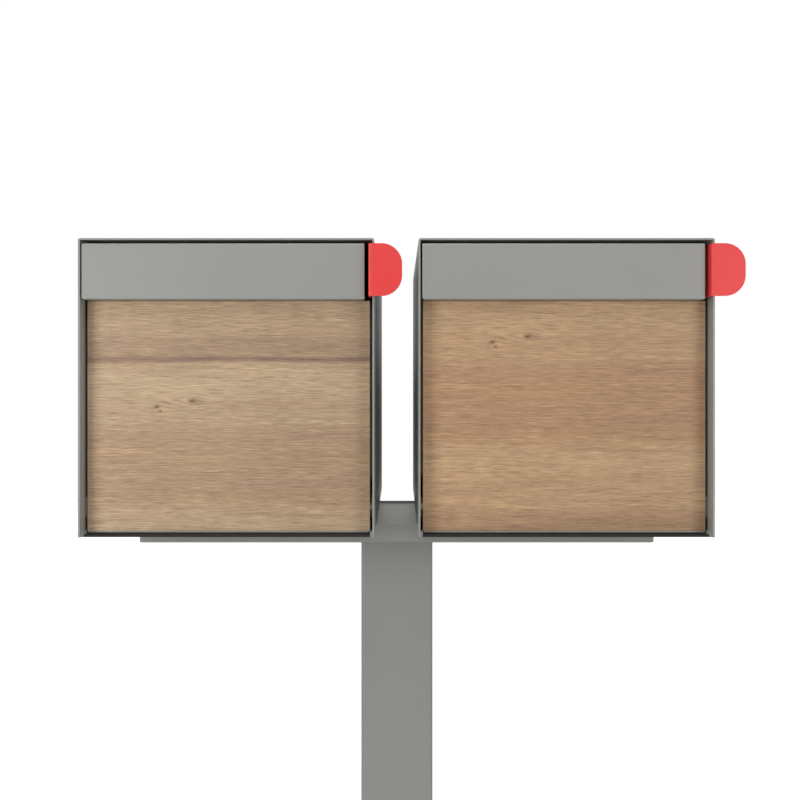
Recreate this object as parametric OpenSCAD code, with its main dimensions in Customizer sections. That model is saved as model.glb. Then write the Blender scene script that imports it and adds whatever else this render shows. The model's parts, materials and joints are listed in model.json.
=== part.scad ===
// Cluster mailbox unit: two curbside mailboxes side by side on one square post.
// Millimetres. +Z up, +X to the viewer's right, the doors face -Y.
// The origin is on the ground, under the centre of the post.

/* [Boxes] */
// Outer width of one box
box_w = 360; // [320:1:400]
// Outer height of one box
box_h = 364; // [340:1:400]
// Outer depth of one box
box_d = 508; // [440:1:560]
// Clear gap between the two boxes
box_gap = 54; // [40:1:90]
// Height of the boxes' underside above the ground
box_z = 1067; // [900:1:1200]
// Thickness of the shell's sheet
shell_t = 2.2; // [1.6:0.1:2.6]

/* [Doors] */
// How far the oak face lies behind the front plane
recess = 18.5; // [14:0.5:24]
// Thickness of the oak panel
wood_t = 4.5; // [3.5:0.5:4.5]
// Height of the proud band
band_h = 68.4; // [60:0.2:80]
// Clearance between the oak panel and each side wall
door_gap = 3.3; // [2.8:0.1:4]

/* [Flags] */
// Height of the flag
flag_h = 63.6; // [56:0.2:63.6]
// How far the flag stands out past the side wall
flag_reach = 34; // [20:0.1:40]
// Radius of the flag's outer corners
flag_r = 25; // [5:1:28]
// How far the flag slides out
flag_travel = 60; // [30:1:60]

/* [Tray and post] */
// Length of the tray bracket
tray_w = 682; // [640:1:720]
// Height of the tray bracket
tray_h = 25; // [20:1:40]
// Outer width of the square post
post_w = 101.6; // [90:0.1:110]
// Wall thickness of the post
post_t = 3.2; // [2.5:0.1:5]
// Width of the square base plate
base_w = 254; // [230:1:320]
// Distance between neighbouring anchor holes
anchor_pitch = 203.2; // [180:0.1:204]

/* [Hidden] */
$fn = 48;

LEFT = -1;
RIGHT = 1;
PAINT = "#96978f";
OAK = "#c8a681";
RED = "#e44a48";
STEEL = "#b9bcc0";
RUBBER = "#2a2a2a";
NYLON = "#e8e6dd";

// Clear width inside the shell, halved
in_x = box_w / 2 - shell_t;
// Underside of the roof
roof_z = box_h - shell_t;

// Thin sheet of the back, door pan, jamb and brackets
thin = 1.5;
// Floor: its own sheet, side flanges, corner tabs beside the door and the rubber over its edge
floor_t = 1.2;
floor_flange_h = 20;
floor_flange_front = 66;
tab_w = 3;
tab_h = 6;
sill_front = 4;
sill_back = 17.5;
sill_lip = 1.2;
sill_top = 2;
back_inset = 1.5;
back_flange = 18;

// Door: plate, flanges and the pivot near its lower edge
door_bottom = 2.9;
lip_t = 2;
lip_round = 1;
wood_x = in_x - door_gap;
wood_bottom = door_bottom + lip_t;
pan_x = wood_x - 1.5;
pan_front = recess + wood_t;
pan_back = pan_front + thin;
flange_back = pan_back + 14.5;
flange_bottom = 22;
pivot_y = pan_back + 4.2;
pivot_z = door_bottom + 30.3;
pin_r = 2.25;
bush_bore_r = pin_r + 0.05;
bush_r = 3.2;
bush_collar_r = 4.6;
bush_tip = 1;
clip_r = 3.8;
hinge_plate_gap = 0.4;

// Band: its outer box, in front of the pan
band_t = 2;
band_top = box_h - 6.2;
band_bottom = band_top - band_h;
band_left = -in_x + 2.4;
band_right = in_x - 9.8;
band_left_r = 3.6;
band_right_r = 1.8;
band_edge_r = 2;
notch_x = band_right;
wood_top = band_bottom - 0.2;
pan_top = band_top - band_t;

// Jamb and seal behind the door's edges
seal_t = 1.7;
seal_clear = 0.3;
jamb_front = flange_back + seal_clear + seal_t;
jamb_leg = 14;
jamb_depth = 17;
jamb_bottom = 70;
jamb_side_top = 284;
jamb_left_top = 345;
seal_w = 8;

// Stops that the lower edge of the open door meets
stop_z = pivot_z - (pivot_y - pan_back) + 0.4;
stop_front = 46;
stop_d = 16;
stop_reach = 18;
stop_h = 15;

// Magnetic catch under the roof
catch_w = 60;
catch_h = 16;
catch_d = 22;
catch_z = 330;
catch_front = pan_back + 1.5 + 0.3;
strike_w = 50;
strike_h = 14;
strike_t = 1.5;
magnet_w = 34;
magnet_h = 8;
magnet_d = 6;
screw_r = 1.5;
screw_head_r = 3.2;
screw_head_h = 2;

// Flag: a plate in front, and a leg that runs back into the guide
flag_t = 2.5;
flag_top = box_h - 7.5;
flag_front = -9.8;
flag_bend_r = 2.8;
leg_x = in_x - 4.5;
leg_h = 24;
leg_mid = flag_top - flag_h / 2;
leg_shoulder = 38;
leg_end = 181;
guide_front = 60;
guide_d = 50;
guide_wall = 4;
guide_clear = 0.2;
guide_ear = 9;
guide_x = leg_x - guide_clear - 2.2;
stop_pin_r = 2;
stud_r = 2;

// Fixings between box and tray
bolt_x = [-110, 110];
bolt_y = [134, 314];
bolt_r = 4;
bolt_head_r = 8;
bolt_head_h = 4;
bolt_dome_r = 10.4;
nut_h = 6.5;
nut_flat = 13;
washer_t = 1.6;
washer_r = 8;
spacer_r = 8;

// Tray: a plate sunk a little below the rim that carries the boxes, over an open underside
tray_t = 2.5;
tray_front = -148;
tray_d = 236;
tray_bend_r = 4;
tray_sink = 3;
tray_lip = 14;
plate_z = -tray_sink - tray_t;
vent = [38, 0];
vent_r = 5;

base_t = 9.5;
weld_leg = 6;
anchor_r = 7;
post_bend_r = 4;
post_h = box_z + plate_z - base_t;

// Puts one box's piece in place; a box's own frame starts at its front plane and underside
module in_box(side) {
  translate([side * (box_w + box_gap) / 2, -box_d / 2, box_z])
    children();
}

// Children and their mirror image on the box's other side
module both_sides() {
  for (s = [-1, 1])
    mirror([s < 0 ? 1 : 0, 0, 0])
      children();
}

// A block from its low corner to its high corner
module block(low, high) {
  translate(low)
    cube(high - low);
}

// A straight rod along X
module rod_x(x0, x1, y, z, r) {
  translate([min(x0, x1), y, z])
    rotate([0, 90, 0])
      cylinder(h = abs(x1 - x0), r = r);
}

// A straight rod along Y
module rod_y(x, y0, y1, z, r) {
  translate([x, y1, z])
    rotate([90, 0, 0])
      cylinder(h = y1 - y0, r = r);
}

// Extrudes an outline drawn in (X, Z) backwards from y0 to y1
module extrude_y(y0, y1) {
  translate([0, y1, 0])
    rotate([90, 0, 0])
      linear_extrude(y1 - y0)
        children();
}

// Extrudes an outline drawn in (Y, Z) along X from x0 to x1
module extrude_x(x0, x1) {
  translate([x0, 0, 0])
    rotate([90, 0, 90])
      linear_extrude(x1 - x0)
        children();
}

// A rectangle whose corners [low left, low right, high right, high left] have their own radii
module soft_rect(low, high, r) {
  corners = [
    [low[0], low[1], 1, 1, r[0]],
    [high[0], low[1], -1, 1, r[1]],
    [high[0], high[1], -1, -1, r[2]],
    [low[0], high[1], 1, -1, r[3]]
  ];
  difference() {
    translate(low)
      square(high - low);
    for (c = corners)
      if (c[4] > 0)
        translate([c[0], c[1]])
          scale([c[2], c[3]])
            corner_waste(c[4]);
  }
}

// What is cut from a square corner at the origin to round it
module corner_waste(r) {
  difference() {
    translate([-1, -1])
      square(r + 1);
    translate([r, r])
      circle(r);
  }
}

// Roof and both sides, one folded sheet
module shell(side) {
  color(PAINT)
    in_box(side)
      extrude_y(0, box_d)
        difference() {
          soft_rect([-box_w / 2, 0], [box_w / 2, box_h], [0, 0, 2.6, 2.6]);
          soft_rect([-in_x, -1], [in_x, roof_z], [0, 0, 0.6, 0.6]);
        }
}

// Floor sheet with upturned side flanges, a tab in each front corner and four bolt holes
module floor_pan(side) {
  color(PAINT)
    in_box(side)
      difference() {
        union() {
          block([-in_x, sill_front + sill_lip, 0],
                [in_x, box_d - back_inset - thin, floor_t]);
          both_sides() {
            block([in_x - floor_t, floor_flange_front, 0],
                  [in_x, box_d - back_flange - 12, floor_flange_h]);
            block([in_x - tab_w, sill_front, 0], [in_x, sill_back, tab_h]);
          }
        }
        for (x = bolt_x)
          for (y = bolt_y)
            translate([x, y, -1])
              cylinder(h = floor_t + 2, r = bolt_r + 0.3);
      }
}

// Rubber angle over the floor's front edge, between the corner tabs
module sill_trim(side) {
  x = in_x - tab_w;
  color(RUBBER)
    in_box(side)
      difference() {
        block([-x, sill_front, 0], [x, sill_back, sill_top]);
        block([-x - 1, sill_front + sill_lip, -1], [x + 1, sill_back + 1, floor_t]);
      }
}

// Back sheet with flanges that turn forward along the sides, roof and floor
module back_panel(side) {
  color(PAINT)
    in_box(side)
      difference() {
        block([-in_x, box_d - back_inset - back_flange, floor_t],
              [in_x, box_d - back_inset, roof_z]);
        block([-in_x + thin, box_d - back_inset - back_flange - 1, floor_t + thin],
              [in_x - thin, box_d - back_inset - thin, roof_z - thin]);
      }
}

// One angle of the jamb: a face behind the door's edge and a leg along the wall
module jamb_angle(z0, z1) {
  block([in_x - jamb_leg, jamb_front, z0], [in_x, jamb_front + thin, z1]);
  block([in_x - thin, jamb_front, z0], [in_x, jamb_front + jamb_depth, z1]);
}

// Angles left, right and top that the closed door comes up against
module door_jamb(side) {
  color(PAINT)
    in_box(side) {
      jamb_angle(jamb_bottom, jamb_side_top);
      mirror([1, 0, 0])
        jamb_angle(jamb_bottom, jamb_left_top);
      both_sides() {
        block([catch_w / 2 + 8, jamb_front, roof_z - jamb_leg],
              [in_x - jamb_leg - 4, jamb_front + thin, roof_z]);
        block([catch_w / 2 + 8, jamb_front, roof_z - thin],
              [in_x - jamb_leg - 4, jamb_front + jamb_depth, roof_z]);
      }
    }
}

// One upright strip of the seal on the jamb's face
module seal_strip(z0, z1) {
  extrude_y(jamb_front - seal_t, jamb_front)
    soft_rect([in_x - jamb_leg + 1, z0], [in_x - jamb_leg + 1 + seal_w, z1], [3, 3, 3, 3]);
}

// Rubber strips that the door's flanges close on
module door_seal(side) {
  color(RUBBER)
    in_box(side) {
      seal_strip(jamb_bottom + 2, jamb_side_top - 2);
      mirror([1, 0, 0])
        seal_strip(jamb_bottom + 2, jamb_left_top - 2);
    }
}

// Plates on the side walls that carry the pivot pins
module hinge_plates(side) {
  color(PAINT)
    in_box(side)
      both_sides()
        difference() {
          extrude_x(in_x - thin, in_x)
            soft_rect([pan_front, pivot_z - 13], [pan_front + 22, pivot_z + 13], [4, 4, 4, 4]);
          rod_x(in_x - thin - 1, in_x + 1, pivot_y, pivot_z, pin_r);
        }
}

// Pivot pins, grooved at the inner end for their clips
module hinge_pins(side) {
  color(STEEL)
    in_box(side)
      both_sides()
        difference() {
          rod_x(pan_x - 8, in_x, pivot_y, pivot_z, pin_r);
          difference() {
            rod_x(pan_x - 5, pan_x - 4.2, pivot_y, pivot_z, pin_r + 1);
            rod_x(pan_x - 6, pan_x - 3, pivot_y, pivot_z, pin_r - 0.5);
          }
        }
}

// Retaining clips in the pins' grooves, open on one side
module hinge_clips(side) {
  color(STEEL)
    in_box(side)
      both_sides()
        difference() {
          rod_x(pan_x - 5, pan_x - 4.2, pivot_y, pivot_z, clip_r);
          rod_x(pan_x - 6, pan_x - 3, pivot_y, pivot_z, pin_r - 0.5);
          block([pan_x - 6, pivot_y - 1.2, pivot_z - 6], [pan_x - 3, pivot_y + 1.2, pivot_z]);
        }
}

// Angles that the lower edge of the open door meets
module door_stops(side) {
  color(PAINT)
    in_box(side)
      both_sides() {
        block([in_x - stop_reach, stop_front, stop_z],
              [in_x, stop_front + stop_d, stop_z + thin]);
        block([in_x - thin, stop_front, stop_z], [in_x, stop_front + stop_d, stop_z + stop_h]);
      }
}

// Folded bracket that hangs the catch from the roof
module catch_bracket(side) {
  back = catch_front + catch_d;
  color(PAINT)
    in_box(side)
      difference() {
        union() {
          block([-catch_w / 2, back, catch_z], [catch_w / 2, back + thin, roof_z]);
          block([-catch_w / 2, back, roof_z - thin], [catch_w / 2, back + 18, roof_z]);
        }
        for (x = [-20, 20])
          rod_y(x, back - 1, back + thin + 1, catch_z + catch_h / 2, screw_r);
      }
}

// Housing of the magnetic catch
module catch_body(side) {
  color(RUBBER)
    in_box(side)
      difference() {
        extrude_y(catch_front, catch_front + catch_d)
          soft_rect([-catch_w / 2, catch_z], [catch_w / 2, catch_z + catch_h], [2, 2, 2, 2]);
        block([-magnet_w / 2, catch_front - 1, catch_z + (catch_h - magnet_h) / 2],
              [magnet_w / 2, catch_front + magnet_d, catch_z + (catch_h + magnet_h) / 2]);
        for (x = [-20, 20])
          rod_y(x, catch_front + catch_d - 10, catch_front + catch_d + 1,
                catch_z + catch_h / 2, screw_r);
      }
}

// Magnet in the face of the catch
module catch_magnet(side) {
  color(STEEL)
    in_box(side)
      block([-magnet_w / 2, catch_front, catch_z + (catch_h - magnet_h) / 2],
            [magnet_w / 2, catch_front + magnet_d, catch_z + (catch_h + magnet_h) / 2]);
}

// A round-headed screw along Y; its head sits behind y_head and its shank runs forward
module pan_screw(x, y_tip, y_head, z) {
  rod_y(x, y_tip, y_head, z, screw_r);
  rod_y(x, y_head, y_head + screw_head_h, z, screw_head_r);
}

// Screws that hold the catch to its bracket
module catch_screws(side) {
  back = catch_front + catch_d;
  color(STEEL)
    in_box(side)
      for (x = [-20, 20])
        pan_screw(x, back - 10, back + thin, catch_z + catch_h / 2);
}

// Where the screws through the pan into the oak stand
function wood_screw_places() = [
  for (x = [-140, 0, 140])
    for (z = [wood_bottom + 34, wood_top - 34])
      [x, z]
];

// Steel door: plate, lip under the oak, side flanges with pivot holes, and top return
module door_pan(side) {
  color(PAINT)
    in_box(side)
      difference() {
        union() {
          block([-pan_x, pan_front, door_bottom], [pan_x, pan_back, band_bottom]);
          block([-pan_x, pan_front, band_bottom], [notch_x, pan_back, pan_top]);
          extrude_x(-pan_x, pan_x)
            soft_rect([recess, door_bottom], [pan_back, wood_bottom], [lip_round, 0, 0, 0]);
          pan_flange(band_bottom);
          mirror([1, 0, 0])
            pan_flange(pan_top);
          block([-pan_x, pan_front, pan_top - thin], [notch_x, flange_back, pan_top]);
        }
        rod_x(-box_w, box_w, pivot_y, pivot_z, bush_r);
        for (p = wood_screw_places())
          rod_y(p[0], pan_front - 1, pan_back + 1, p[1], screw_r);
      }
}

// One side flange of the door pan, up to z_top
module pan_flange(z_top) {
  extrude_x(pan_x - thin, pan_x)
    soft_rect([pan_front, flange_bottom], [flange_back, z_top], [0, 6, 2, 0]);
}

// Oak face with softly rounded edges, and blind holes for its screws
module door_wood_panel(side) {
  color(OAK)
    in_box(side)
      difference() {
        intersection() {
          extrude_x(-wood_x, wood_x)
            soft_rect([recess, wood_bottom], [pan_front, wood_top], [0.8, 0, 0, 0.8]);
          translate([0, 0, wood_bottom])
            linear_extrude(wood_top - wood_bottom)
              soft_rect([-wood_x, recess], [wood_x, pan_front], [0.8, 0.8, 0, 0]);
        }
        for (p = wood_screw_places())
          rod_y(p[0], pan_front - 3, pan_front + 1, p[1], screw_r);
      }
}

// Outer or inner form of the band, drawn in by inset, open or closed at y_back
module band_form(inset, y_back) {
  x0 = band_left + inset;
  x1 = band_right - inset;
  z0 = band_bottom + inset;
  z1 = band_top - inset;
  left_r = max(band_left_r - inset, 0.2);
  right_r = max(band_right_r - inset, 0.2);
  edge_r = max(band_edge_r - inset, 0.2);
  intersection() {
    extrude_y(inset, y_back)
      soft_rect([x0, z0], [x1, z1], [left_r, right_r, 0.4, 0.4]);
    extrude_x(x0 - 1, x1 + 1)
      soft_rect([inset, z0], [y_back, z1], [edge_r, 0, 0, edge_r]);
  }
}

// Folded band across the top of the door
module door_band(side) {
  color(PAINT)
    in_box(side)
      difference() {
        band_form(0, pan_front);
        band_form(band_t, pan_front + 1);
      }
}

// Screws through the pan into the oak
module door_panel_screws(side) {
  color(STEEL)
    in_box(side)
      for (p = wood_screw_places())
        pan_screw(p[0], pan_front - 3, pan_back, p[1]);
}

// Flanged nylon bushes in the pan's side flanges
module door_bushings(side) {
  color(NYLON)
    in_box(side)
      both_sides()
        difference() {
          union() {
            rod_x(pan_x - thin - bush_tip, pan_x, pivot_y, pivot_z, bush_r);
            rod_x(pan_x, in_x - thin - hinge_plate_gap, pivot_y, pivot_z, bush_collar_r);
          }
          rod_x(pan_x - 20, pan_x + 20, pivot_y, pivot_z, bush_bore_r);
        }
}

// Steel strike on the door pan, opposite the magnet
module strike_plate(side) {
  mid = catch_z + catch_h / 2;
  color(STEEL)
    in_box(side)
      extrude_y(pan_back, pan_back + strike_t)
        soft_rect([-strike_w / 2, mid - strike_h / 2], [strike_w / 2, mid + strike_h / 2],
                  [2, 2, 2, 2]);
}

// Outline of the flag seen from above: the front plate, the bend and the start of the leg
module flag_bend_outline(x1, y1) {
  difference() {
    soft_rect([leg_x, flag_front], [x1, y1], [flag_bend_r, 0, 0, 0]);
    soft_rect([leg_x + flag_t, flag_front + flag_t], [x1 + 1, y1 + 1],
              [flag_bend_r - flag_t, 0, 0, 0]);
  }
}

// Red flag: one bent plate, rounded at its outer corners, with a narrow leg behind
module flag(side) {
  tip_x = box_w / 2 + flag_reach;
  z0 = flag_top - flag_h;
  color(RED)
    in_box(side)
      difference() {
        union() {
          intersection() {
            translate([0, 0, z0])
              linear_extrude(flag_h)
                flag_bend_outline(tip_x, leg_shoulder);
            extrude_y(flag_front - 1, leg_shoulder + 1)
              soft_rect([leg_x - 1, z0], [tip_x, flag_top], [0, flag_r, flag_r, 0]);
            extrude_x(leg_x - 1, tip_x + 1)
              soft_rect([flag_front - 1, z0], [leg_shoulder, flag_top], [0, 12, 12, 0]);
          }
          extrude_x(leg_x, leg_x + flag_t)
            soft_rect([leg_shoulder - 8, leg_mid - leg_h / 2], [leg_end, leg_mid + leg_h / 2],
                      [0, 4, 4, 0]);
        }
        rod_x(leg_x - 1, leg_x + flag_t + 1, stop_pin_y(), leg_mid, stop_pin_r);
      }
}

// The stop pin meets the guide's rear face at the end of the flag's travel
function stop_pin_y() = guide_front + guide_d + flag_travel + stop_pin_r + 0.5;

// Pin through the rear of the leg
module flag_stop_pin(side) {
  color(STEEL)
    in_box(side)
      rod_x(leg_x - 2, leg_x + flag_t + 1.2, stop_pin_y(), leg_mid, stop_pin_r);
}

// Nylon guide on the right wall, with a slot that the leg slides through
module flag_guide(side) {
  z0 = leg_mid - leg_h / 2 - guide_clear;
  z1 = leg_mid + leg_h / 2 + guide_clear;
  y1 = guide_front + guide_d;
  color(NYLON)
    in_box(side)
      difference() {
        union() {
          extrude_x(guide_x, in_x)
            soft_rect([guide_front, z0 - guide_wall], [y1, z1 + guide_wall], [2, 2, 2, 2]);
          extrude_x(in_x - 3, in_x)
            soft_rect([guide_front + 12, z0 - guide_wall - guide_ear],
                      [y1 - 12, z1 + guide_wall + guide_ear], [3, 3, 3, 3]);
        }
        block([leg_x - guide_clear, guide_front - 1, z0],
              [leg_x + flag_t + guide_clear, y1 + 1, z1]);
        for (z = guide_stud_heights())
          rod_x(in_x - 10, in_x + 1, guide_front + guide_d / 2, z, stud_r);
      }
}

// Heights of the two studs in the guide's ears
function guide_stud_heights() = [
  for (s = [-1, 1])
    leg_mid + s * (leg_h / 2 + guide_clear + guide_wall + guide_ear / 2)
];

// Studs welded to the wall, each with its nut on the guide's ear
module flag_guide_studs(side) {
  y = guide_front + guide_d / 2;
  color(STEEL)
    in_box(side)
      for (z = guide_stud_heights()) {
        rod_x(in_x - 7.5, in_x, y, z, stud_r);
        translate([in_x - 6.2, y, z])
          rotate([0, 90, 0])
            cylinder(h = 3.2, r = 3.9, $fn = 6);
      }
}

// Children at the four places where a box is bolted to the tray
module at_bolts(side) {
  in_box(side)
    for (x = bolt_x)
      for (y = bolt_y)
        translate([x, y, 0])
          children();
}

// Round-headed bolts up through the tray's plate and the floor pan
module mount_bolts(side) {
  end = floor_t + washer_t + nut_h + 2;
  color(STEEL)
    at_bolts(side) {
      translate([0, 0, plate_z])
        cylinder(h = end - plate_z, r = bolt_r);
      translate([0, 0, plate_z])
        mirror([0, 0, 1])
          intersection() {
            cylinder(h = bolt_head_h, r = bolt_head_r);
            translate([0, 0, bolt_head_h - bolt_dome_r])
              sphere(r = bolt_dome_r);
          }
    }
}

// Rings that fill the step between the tray's plate and the box floor
module mount_spacers(side) {
  color(STEEL)
    at_bolts(side)
      translate([0, 0, -tray_sink])
        difference() {
          cylinder(h = tray_sink, r = spacer_r);
          translate([0, 0, -1])
            cylinder(h = tray_sink + 2, r = bolt_r + 0.3);
        }
}

// Washers on the floor pan
module mount_washers(side) {
  color(STEEL)
    at_bolts(side)
      translate([0, 0, floor_t])
        difference() {
          cylinder(h = washer_t, r = washer_r);
          translate([0, 0, -1])
            cylinder(h = washer_t + 2, r = bolt_r + 0.3);
        }
}

// Hexagon nuts on the washers
module mount_nuts(side) {
  color(STEEL)
    at_bolts(side)
      translate([0, 0, floor_t + washer_t])
        difference() {
          cylinder(h = nut_h, r = nut_flat / sqrt(3), $fn = 6);
          translate([0, 0, -1])
            cylinder(h = nut_h + 2, r = bolt_r);
        }
}

// A block with rounded upright edges and rounded lower edges all round
module dished_form(low, high, r) {
  intersection() {
    translate([0, 0, low[2]])
      linear_extrude(high[2] - low[2])
        soft_rect([low[0], low[1]], [high[0], high[1]], [r, r, r, r]);
    extrude_y(low[1], high[1])
      soft_rect([low[0], low[2]], [high[0], high[2]], [r, r, 0, 0]);
    extrude_x(low[0], high[0])
      soft_rect([low[1], low[2]], [high[1], high[2]], [r, r, 0, 0]);
  }
}

// Bracket that carries both boxes on its rim: plate, four flanges and a lip turned in below
module tray_bracket() {
  low = [-tray_w / 2, tray_front, box_z - tray_h];
  high = [tray_w / 2, tray_front + tray_d, box_z];
  wall = [tray_t, tray_t, tray_t];
  lip = [tray_lip, tray_lip, 0];
  color(PAINT)
    difference() {
      dished_form(low, high, tray_bend_r);
      dished_form(low + wall, high - [tray_t, tray_t, -plate_z], tray_bend_r - tray_t);
      block(low + lip - [0, 0, 1], high - lip - [0, 0, tray_h - tray_t - 1]);
      block(low + [tray_t, tray_t, tray_h - tray_sink], high - [tray_t, tray_t, -1]);
      translate([vent[0], vent[1], box_z + plate_z - 1])
        cylinder(h = tray_t + 2, r = vent_r);
      for (s = [LEFT, RIGHT])
        at_bolts(s)
          translate([0, 0, plate_z - 1])
            cylinder(h = tray_t + 2, r = bolt_r + 0.3);
    }
}

// Square tube from the base plate up to the underside of the tray's plate
module post_tube() {
  half = post_w / 2;
  inner = half - post_t;
  inner_r = post_bend_r - post_t;
  color(PAINT)
    translate([0, 0, base_t])
      linear_extrude(post_h)
        difference() {
          soft_rect([-half, -half], [half, half], [for (i = [0:3]) post_bend_r]);
          soft_rect([-inner, -inner], [inner, inner], [for (i = [0:3]) inner_r]);
        }
}

// Fillet weld round the foot of the post
module base_weld() {
  half = post_w / 2;
  color(PAINT)
    difference() {
      for (turn = [0, 90, 180, 270])
        rotate([0, 0, turn])
          translate([-half - weld_leg, half - post_bend_r, base_t])
            rotate([90, 0, 90])
              linear_extrude(post_w + 2 * weld_leg)
                polygon([
                  [0, 0],
                  [post_bend_r + weld_leg, 0],
                  [post_bend_r, weld_leg],
                  [0, weld_leg]
                ]);
      translate([0, 0, base_t - 1])
        linear_extrude(weld_leg + 2)
          soft_rect([-half, -half], [half, half], [for (i = [0:3]) post_bend_r]);
      for (turn = [0, 90, 180, 270])
        rotate([0, 0, turn])
          translate([half + weld_leg / 2, half + weld_leg / 2, base_t - 1])
            rotate([0, 0, 45])
              block([0, -20, 0], [20, 20, weld_leg + 2]);
    }
}

// Plate that stands on the ground, with four anchor holes
module base_plate() {
  half = base_w / 2;
  color(PAINT)
    difference() {
      linear_extrude(base_t)
        soft_rect([-half, -half], [half, half], [for (i = [0:3]) 12]);
      for (x = [-1, 1])
        for (y = [-1, 1])
          translate([x * anchor_pitch / 2, y * anchor_pitch / 2, -1])
            cylinder(h = base_t + 2, r = anchor_r);
    }
}

shell(LEFT);  // left_shell
floor_pan(LEFT);  // left_floor_pan
sill_trim(LEFT);  // left_sill_trim
back_panel(LEFT);  // left_back_panel
door_jamb(LEFT);  // left_door_jamb
door_seal(LEFT);  // left_door_seal
hinge_plates(LEFT);  // left_hinge_plates
hinge_pins(LEFT);  // left_hinge_pins
hinge_clips(LEFT);  // left_hinge_clips
door_stops(LEFT);  // left_door_stops
catch_bracket(LEFT);  // left_catch_bracket
catch_body(LEFT);  // left_catch_body
catch_magnet(LEFT);  // left_catch_magnet
catch_screws(LEFT);  // left_catch_screws
door_pan(LEFT);  // left_door_pan
door_wood_panel(LEFT);  // left_door_wood_panel
door_band(LEFT);  // left_door_band
door_panel_screws(LEFT);  // left_door_panel_screws
door_bushings(LEFT);  // left_door_bushings
strike_plate(LEFT);  // left_strike_plate
flag(LEFT);  // left_flag
flag_stop_pin(LEFT);  // left_flag_stop_pin
flag_guide(LEFT);  // left_flag_guide
flag_guide_studs(LEFT);  // left_flag_guide_studs
mount_bolts(LEFT);  // left_mount_bolts
mount_spacers(LEFT);  // left_mount_spacers
mount_washers(LEFT);  // left_mount_washers
mount_nuts(LEFT);  // left_mount_nuts
shell(RIGHT);  // right_shell
floor_pan(RIGHT);  // right_floor_pan
sill_trim(RIGHT);  // right_sill_trim
back_panel(RIGHT);  // right_back_panel
door_jamb(RIGHT);  // right_door_jamb
door_seal(RIGHT);  // right_door_seal
hinge_plates(RIGHT);  // right_hinge_plates
hinge_pins(RIGHT);  // right_hinge_pins
hinge_clips(RIGHT);  // right_hinge_clips
door_stops(RIGHT);  // right_door_stops
catch_bracket(RIGHT);  // right_catch_bracket
catch_body(RIGHT);  // right_catch_body
catch_magnet(RIGHT);  // right_catch_magnet
catch_screws(RIGHT);  // right_catch_screws
door_pan(RIGHT);  // right_door_pan
door_wood_panel(RIGHT);  // right_door_wood_panel
door_band(RIGHT);  // right_door_band
door_panel_screws(RIGHT);  // right_door_panel_screws
door_bushings(RIGHT);  // right_door_bushings
strike_plate(RIGHT);  // right_strike_plate
flag(RIGHT);  // right_flag
flag_stop_pin(RIGHT);  // right_flag_stop_pin
flag_guide(RIGHT);  // right_flag_guide
flag_guide_studs(RIGHT);  // right_flag_guide_studs
mount_bolts(RIGHT);  // right_mount_bolts
mount_spacers(RIGHT);  // right_mount_spacers
mount_washers(RIGHT);  // right_mount_washers
mount_nuts(RIGHT);  // right_mount_nuts
tray_bracket();
post_tube();
base_weld();
base_plate();
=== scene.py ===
"""Cluster mailbox unit: materials, edges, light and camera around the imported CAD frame. Metres."""
import json
import math

import bpy
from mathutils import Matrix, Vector


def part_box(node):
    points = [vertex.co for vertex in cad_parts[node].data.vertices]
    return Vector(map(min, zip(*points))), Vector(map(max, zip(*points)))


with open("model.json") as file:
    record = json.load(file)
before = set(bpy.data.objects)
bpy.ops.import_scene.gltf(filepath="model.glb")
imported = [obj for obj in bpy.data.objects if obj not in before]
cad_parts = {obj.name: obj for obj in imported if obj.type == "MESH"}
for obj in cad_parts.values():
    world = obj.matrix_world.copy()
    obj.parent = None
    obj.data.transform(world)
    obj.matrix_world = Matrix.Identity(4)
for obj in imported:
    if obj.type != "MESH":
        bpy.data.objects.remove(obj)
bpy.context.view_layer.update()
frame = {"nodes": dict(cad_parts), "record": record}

scene = bpy.context.scene

# ---------------------------------------------------------------- shader helper


def srgb(red, green, blue):
    """A colour as a person reads it off a colour chart, 0 to 255, made linear."""
    def linear(c):
        c /= 255
        return c / 12.92 if c <= 0.04045 else ((c + 0.055) / 1.055) ** 2.4
    return (linear(red), linear(green), linear(blue), 1)


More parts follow.
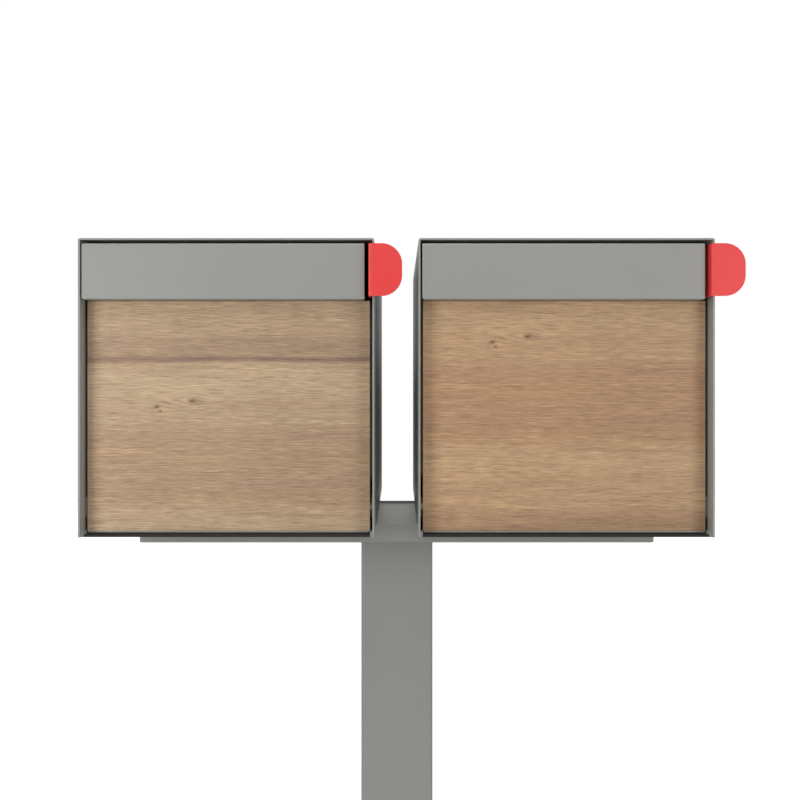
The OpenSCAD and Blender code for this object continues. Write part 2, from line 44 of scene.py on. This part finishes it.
class Shader:
    """A material under construction. Sockets go in as links, and anything else as a value."""

    def __init__(self, name):
        self.material = bpy.data.materials.new(name)
        self.material.use_nodes = True
        self.tree = self.material.node_tree
        self.bsdf = self.tree.nodes["Principled BSDF"]

    def node(self, kind, inputs=(), **settings):
        made = self.tree.nodes.new("ShaderNode" + kind)
        for key, value in settings.items():
            setattr(made, key, value)
        self.fill(made, dict(inputs))
        return made

    def fill(self, node, inputs):
        for key, value in inputs.items():
            socket = node.inputs[key]
            if isinstance(value, bpy.types.NodeSocket):
                self.tree.links.new(value, socket)
            else:
                socket.default_value = value

    def surface(self, **inputs):
        self.fill(self.bsdf, {key.replace("_", " "): value for key, value in inputs.items()})

    def position(self):
        return self.node("TexCoord").outputs["Object"]

    def math(self, operation, *values, clamp=False):
        inputs = {index: value for index, value in enumerate(values)}
        return self.node("Math", inputs, operation=operation, use_clamp=clamp).outputs[0]

    def squared(self, value):
        return self.math("POWER", self.math("ABSOLUTE", value), 2)

    def scaled(self, vector, factors):
        inputs = {"Vector": vector, "Scale": factors}
        return self.node("Mapping", inputs).outputs[0]

    def noise(self, vector, scale, detail=2.0, roughness=0.5, distortion=0.0):
        inputs = {
            "Vector": vector, "Scale": scale, "Detail": detail,
            "Roughness": roughness, "Distortion": distortion,
        }
        return self.node("TexNoise", inputs).outputs["Fac"]

    def remap(self, value, low, high, to_low=0.0, to_high=1.0):
        inputs = {
            "Value": value, "From Min": low, "From Max": high,
            "To Min": to_low, "To Max": to_high,
        }
        return self.node("MapRange", inputs).outputs["Result"]

    def mix(self, factor, first, second, blend="MIX"):
        made = self.node("Mix", data_type="RGBA", blend_type=blend)
        for index, value in ((0, factor), (6, first), (7, second)):
            socket = made.inputs[index]
            if isinstance(value, bpy.types.NodeSocket):
                self.tree.links.new(value, socket)
            else:
                socket.default_value = value
        return made.outputs[2]

    def ramp(self, factor, stops, interpolation="EASE"):
        made = self.node("ValToRGB", {"Fac": factor})
        band = made.color_ramp
        band.interpolation = interpolation
        while len(band.elements) > 1:
            band.elements.remove(band.elements[-1])
        band.elements[0].position, band.elements[0].color = stops[0]
        for place, colour in stops[1:]:
            band.elements.new(place).color = colour
        return made.outputs["Color"]

    def bump(self, height, distance, strength=1.0):
        inputs = {"Height": height, "Distance": distance, "Strength": strength}
        return self.node("Bump", inputs).outputs["Normal"]


# ---------------------------------------------------------------- paints

GREY = srgb(153, 154, 149)
RED = srgb(238, 72, 71)


def powder_coat(name, colour, roughness, grain=1.0):
    """Satin powder coat: fine orange peel, faint clouds in tone and gloss, and a paler painted
    highlight on sharp edges.
    """
    s = Shader(name)
    place = s.position()
    cloud = s.noise(place, 5, detail=4)
    speck = s.noise(place, 900, detail=1)
    tone = s.remap(cloud, 0.3, 0.7, 0.975, 1.025)
    tone = s.math("MULTIPLY", tone, s.remap(speck, 0.3, 0.7, 0.985, 1.015))
    # Painted highlight: convex edges, found by pointiness, are mixed towards a paler grey as if they
    # catch the light
    edge_highlight = s.remap(s.node("NewGeometry").outputs["Pointiness"], 0.52, 0.6, 0, 0.25)
    base = s.node("HueSaturation", {"Color": colour, "Value": tone}).outputs["Color"]
    pale = tuple(min(1, c * 1.25) for c in colour[:3]) + (1,)
    peel = s.noise(place, 620, detail=2, roughness=0.6)
    sag = s.noise(place, 60, detail=2)
    relief = s.math("ADD", peel, s.math("MULTIPLY", sag, 0.6))
    s.surface(
        Base_Color=s.mix(edge_highlight, base, pale),
        Roughness=s.remap(cloud, 0.3, 0.7, roughness - 0.03, roughness + 0.03),
        Normal=s.bump(relief, 0.00006 * grain),
    )
    s.bsdf.inputs["IOR"].default_value = 1.5
    return s.material


# ---------------------------------------------------------------- oak

MM = 0.001
# Height of the figure before it repeats
FIGURE_REPEAT = 298 * MM
# How far down the figure the right door starts
RIGHT_CUT = 79.7 * MM
# Tone down the figure: place in mm from its top, and colour. These are the oak's own tones, except
# that the pale last stop at 280 mm is partly painted light: it lifts the foot of the left door where
# the sill shades it.
PALE, TAN, DUN = srgb(198, 172, 139), srgb(192, 164, 132), srgb(177, 149, 121)
ROSE, AMBER, SHADE = srgb(182, 151, 123), srgb(185, 154, 121), srgb(150, 122, 102)
FIGURE_TONES = [
    (0, TAN), (13, TAN), (22, TAN), (34, TAN), (48, DUN), (62, DUN), (68, DUN), (71, SHADE),
    (74, SHADE), (78, TAN), (92, PALE), (112, PALE), (126, TAN), (150, TAN), (165, ROSE),
    (190, AMBER), (225, ROSE), (243, AMBER), (262, TAN), (280, PALE),
]
FIGURE_TOP = 380 * MM
# Nominal width of a door's oak face, over which its tone drifts
BOARD_WIDTH = 349 * MM
# Where the flame lies down the figure, and half its height
FLAME_MIDDLE = 21 * MM
FLAME_HALF_HEIGHT = 15 * MM
# Knots: place across and down the figure, half width and half height, all in mm
KNOTS = [(129, 124, 5.5, 2.6), (86, 131, 3.2, 2.0), (90, 136.5, 2.4, 1.4)]


def oak(name, panel, cut, stain):
    """Light oak with its grain across the door. cut is how far down the figure this door starts."""
    s = Shader(name)
    low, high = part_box(panel)
    axes = s.node("SeparateXYZ", {"Vector": s.position()}).outputs
    across = s.math("SUBTRACT", axes["X"], low.x)
    down = s.math("SUBTRACT", high.z + cut, axes["Z"])
    flat = s.node("CombineXYZ", {"X": across, "Y": down}).outputs[0]

    # The growth lines wander, spread where the flame opens to the right, and part round the knots
    drift = s.noise(s.scaled(flat, (2.2, 14, 1)), 1, detail=2)
    wander = s.noise(s.scaled(flat, (9, 50, 1)), 1, detail=2)
    line = s.math("ADD", down, s.math("MULTIPLY", s.math("SUBTRACT", drift, 0.5), 14 * MM))
    line = s.math("ADD", line, s.math("MULTIPLY", s.math("SUBTRACT", wander, 0.5), 3.5 * MM))
    for repeat in (0, FIGURE_REPEAT):
        line = s.math("SUBTRACT", line, flame(s, across, down, FLAME_MIDDLE + repeat))
    dark = 0.0
    for x, z, half_w, half_h in KNOTS:
        near_x = s.math("DIVIDE", s.math("SUBTRACT", across, x * MM), half_w * MM)
        off = s.math("SUBTRACT", down, z * MM)
        near_z = s.math("DIVIDE", off, half_h * MM)
        reach = s.math("ADD", s.squared(near_x), s.squared(near_z))
        wide = s.math("EXPONENT", s.math("MULTIPLY", reach, -0.09))
        line = s.math("SUBTRACT", line, s.math("MULTIPLY", s.math("MULTIPLY", off, wide), 0.85))
        core = s.math("EXPONENT", s.math("MULTIPLY", reach, -1.4))
        dark = s.math("ADD", dark, s.math("ADD", core, s.math("MULTIPLY", wide, 0.16)))
    grain = s.node("CombineXYZ", {"X": across, "Y": line}).outputs[0]

    # Broad tone down the board, then bands, fine lines and pores along the grain
    tone_at = s.math("DIVIDE", line, FIGURE_TOP)
    stops = [(place * MM / FIGURE_TOP, colour) for place, colour in FIGURE_TONES]
    stops += [(place * MM / FIGURE_TOP + FIGURE_REPEAT / FIGURE_TOP, colour)
              for place, colour in FIGURE_TONES if place * MM + FIGURE_REPEAT < FIGURE_TOP]
    colour = s.ramp(tone_at, stops, "LINEAR")
    bands = s.noise(s.scaled(grain, (6, 130, 1)), 1, detail=2)
    streaks = s.noise(s.scaled(grain, (12, 520, 1)), 1, detail=3, roughness=0.6)
    lines = s.noise(s.scaled(grain, (48, 950, 1)), 1, detail=2, roughness=0.6)
    fibres = s.noise(s.scaled(grain, (90, 2600, 1)), 1, detail=1)
    blotch = s.noise(s.scaled(flat, (9, 16, 1)), 1, detail=3)
    value = s.remap(bands, 0.3, 0.7, 0.92, 1.08)
    for layer, depth in ((streaks, 0.16), (lines, 0.28), (fibres, 0.06), (blotch, 0.03)):
        value = s.math("MULTIPLY", value, s.remap(layer, 0.3, 0.7, 1 - depth, 1 + depth))
    value = s.math("MULTIPLY", value, s.remap(across, 0, BOARD_WIDTH, 1.03, 0.91))
    colour = s.node("HueSaturation", {"Color": colour, "Value": value}).outputs["Color"]
    colour = s.mix(1.0, colour, stain, "MULTIPLY")
    ruddy = s.remap(s.noise(s.scaled(grain, (5, 90, 3)), 1, detail=2), 0.5, 0.7, 0, 0.3)
    colour = s.mix(ruddy, colour, srgb(178, 142, 115))
    pore_cells = s.noise(s.scaled(grain, (45, 1300, 1)), 1, detail=0)
    pore_fields = s.noise(s.scaled(grain, (8, 90, 1)), 1, detail=1)
    pores = s.math("MULTIPLY", s.remap(pore_cells, 0.60, 0.74), s.remap(pore_fields, 0.4, 0.6))
    colour = s.mix(s.math("MULTIPLY", pores, 0.35), colour, srgb(124, 96, 72))
    colour = s.mix(s.math("MULTIPLY", dark, 0.8, clamp=True), colour, srgb(104, 76, 60))

    relief = s.math("SUBTRACT", s.math("MULTIPLY", lines, 0.5), s.math("MULTIPLY", pores, 0.9))
    relief = s.math("ADD", relief, s.math("MULTIPLY", fibres, 0.35))
    s.surface(
        Base_Color=colour,
        Roughness=s.remap(lines, 0.3, 0.7, 0.5, 0.62),
        Normal=s.bump(relief, 0.00012),
    )
    s.bsdf.inputs["IOR"].default_value = 1.45
    return s.material


def flame(s, across, down, middle):
    """How far the growth lines are pushed apart about middle, more and more towards the right."""
    off = s.math("SUBTRACT", down, middle)
    spread = s.squared(s.math("DIVIDE", off, FLAME_HALF_HEIGHT))
    window = s.math("EXPONENT", s.math("MULTIPLY", spread, -1))
    opening = s.remap(across, 60 * MM, BOARD_WIDTH, 0, 0.62)
    return s.math("MULTIPLY", s.math("MULTIPLY", off, window), opening)


# ---------------------------------------------------------------- small fittings


def zinc_steel():
    """Zinc-plated steel: crystalline mottling and fine turning marks."""
    s = Shader("zinc_steel")
    place = s.position()
    spangle = s.node("TexVoronoi", {"Vector": place, "Scale": 320}).outputs["Distance"]
    cloud = s.noise(place, 40, detail=3)
    s.surface(
        Base_Color=s.ramp(cloud, [(0.3, srgb(176, 178, 180)), (0.7, srgb(206, 207, 208))]),
        Roughness=s.remap(spangle, 0, 0.6, 0.28, 0.44),
        Normal=s.bump(spangle, 0.00003),
    )
    s.bsdf.inputs["Metallic"].default_value = 1.0
    return s.material


def moulded(name, colour, roughness, scale):
    """Moulded rubber or plastic with a fine eroded surface."""
    s = Shader(name)
    place = s.position()
    cloud = s.noise(place, 30, detail=3)
    fine = s.noise(place, scale, detail=2)
    paler = tuple(c * 1.3 + 0.004 for c in colour[:3]) + (1,)
    s.surface(
        Base_Color=s.ramp(cloud, [(0.3, colour), (0.75, paler)]),
        Roughness=s.remap(fine, 0.3, 0.7, roughness - 0.05, roughness + 0.05),
        Normal=s.bump(fine, 0.00005),
    )
    return s.material


MATERIALS = {
    "grey_paint": powder_coat("grey_powder_coat", GREY, 0.42),
    "red_paint": powder_coat("red_satin_paint", RED, 0.38, grain=0.6),
    "steel": zinc_steel(),
    "black_rubber": moulded("black_rubber", srgb(31, 31, 31), 0.8, 700),
    "black_plastic": moulded("black_plastic", srgb(42, 42, 43), 0.5, 900),
    "white_nylon": moulded("white_nylon", srgb(222, 219, 208), 0.48, 500),
}
DOOR_OAK = {
    "left_door_wood_panel": oak("oak_left", "left_door_wood_panel", 0, (1, 1, 1, 1)),
    "right_door_wood_panel": oak(
        "oak_right", "right_door_wood_panel", RIGHT_CUT, (1.0, 0.9, 0.815, 1)),
}


EDGE_WIDTH = 0.25 * MM


def dress(name, node, slot):
    """Gives a CAD node its material and softens its edges."""
    node.data.materials.clear()
    node.data.materials.append(DOOR_OAK.get(name) or MATERIALS[slot])
    soften = node.modifiers.new("soft_edges", "BEVEL")
    soften.width = EDGE_WIDTH
    soften.segments = 2
    soften.limit_method = "ANGLE"
    soften.angle_limit = math.radians(40)
    soften.harden_normals = True


slots = {part["node"]: part["material_slot"] for part in frame["record"]["subparts"]}
for name, node in frame["nodes"].items():
    dress(name, node, slots[name])

# ---------------------------------------------------------------- stage, light and camera


def stage_floor():
    """A wide plain floor of pale paper that glows: faintly near the object, brightest well behind
    it.
    """
    mesh = bpy.data.meshes.new("studio_floor")
    wide, near, far = 12.0, -9.0, 7.5
    corners = [(-wide, near, 0), (wide, near, 0), (wide, far, 0), (-wide, far, 0)]
    mesh.from_pydata(corners, [], [(0, 1, 2, 3)])
    floor = bpy.data.objects.new("studio_floor", mesh)
    scene.collection.objects.link(floor)
    s = Shader("glowing_white_paper")
    place = s.position()
    haze = s.noise(place, 0.4, detail=1)
    depth = s.node("SeparateXYZ", {"Vector": place}).outputs["Y"]
    s.surface(
        Base_Color=s.ramp(haze, [(0.3, (0.64, 0.64, 0.64, 1)), (0.7, (0.66, 0.66, 0.66, 1))]),
        Roughness=0.9,
        Emission_Color=(1, 1, 1, 1),
        # The floor glows: its emission climbs from almost nothing near the object to nearly white
        # well behind it
        Emission_Strength=s.remap(depth, 0.6, 1.4, 0.02, 0.95),
    )
    mesh.materials.append(s.material)


def soft_light(name, power, size, place, target):
    """A rectangular soft box at place, facing target."""
    data = bpy.data.lights.new(name, "AREA")
    data.shape = "RECTANGLE"
    data.size, data.size_y = size
    data.energy = power
    lamp = bpy.data.objects.new(name, data)
    lamp.location = place
    aim = Vector(target) - Vector(place)
    lamp.rotation_euler = aim.to_track_quat("-Z", "Y").to_euler()
    scene.collection.objects.link(lamp)


def white_world(fill, behind):
    """White as a backdrop. On the object it is a soft fill, brighter from the wall behind."""
    world = bpy.data.worlds.new("studio_world")
    world.use_nodes = True
    tree = world.node_tree
    tree.nodes.clear()

    def made(kind, inputs, **settings):
        node = tree.nodes.new("ShaderNode" + kind)
        for key, value in settings.items():
            setattr(node, key, value)
        for key, value in inputs.items():
            if isinstance(value, bpy.types.NodeSocket):
                tree.links.new(value, node.inputs[key])
            else:
                node.inputs[key].default_value = value
        return node.outputs

    way = made("SeparateXYZ", {"Vector": made("TexCoord", {})["Generated"]})
    back = made("MapRange", {"Value": way["Y"], "From Min": 0.5, "From Max": 0.8,
                             "To Min": fill, "To Max": behind})["Result"]
    above = made("MapRange", {"Value": way["Z"], "From Min": -0.02, "From Max": 0.04,
                              "To Min": 0.1})["Result"]
    falling = made("Math", {0: back, 1: above}, operation="MULTIPLY")[0]
    seen = made("LightPath", {})["Is Camera Ray"]
    level = made("Math", {0: falling, 1: seen}, operation="MAXIMUM")[0]
    light = made("Background", {"Color": (1, 1, 1, 1), "Strength": level})
    made("OutputWorld", {"Surface": light[0]})
    scene.world = world


# The camera's place: to the right of the post, before the boxes' fronts, above their undersides
CAMERA_ASIDE, CAMERA_DISTANCE, CAMERA_RISE = 0.0044, 1.1833, 0.2


def front_camera():
    """Level camera in front of the boxes, a little above the middle of their height."""
    shell_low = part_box("left_shell")[0]
    data = bpy.data.cameras.new("front_camera")
    data.sensor_width = 36
    data.lens = 43.83
    data.shift_y = -0.03375
    data.clip_start, data.clip_end = 0.05, 60
    camera = bpy.data.objects.new("front_camera", data)
    camera.location = (CAMERA_ASIDE, shell_low.y - CAMERA_DISTANCE, shell_low.z + CAMERA_RISE)
    camera.rotation_euler = (math.pi / 2, 0, 0)
    scene.collection.objects.link(camera)
    scene.camera = camera


stage_floor()
white_world(0.18, 0.8)
for name, power, panel, place, target in (
    ("left_softbox", 15.8, (0.8, 0.9), (-1.35, -1.55, 1.22), (0, -0.25, 1.25)),
    ("right_softbox", 12.4, (0.8, 0.9), (1.45, -1.55, 1.22), (0, -0.25, 1.25)),
    ("top_softbox", 9, (0.6, 1.4), (0, -1.6, 2.9), (0, -0.25, 1.2)),
    ("roof_strip", 6.5, (0.3, 1.2), (0, -0.3, 2.4), (0, -0.25, 1.0)),
):
    soft_light(name, power, panel, place, target)
front_camera()
scene.view_settings.view_transform = "Standard"
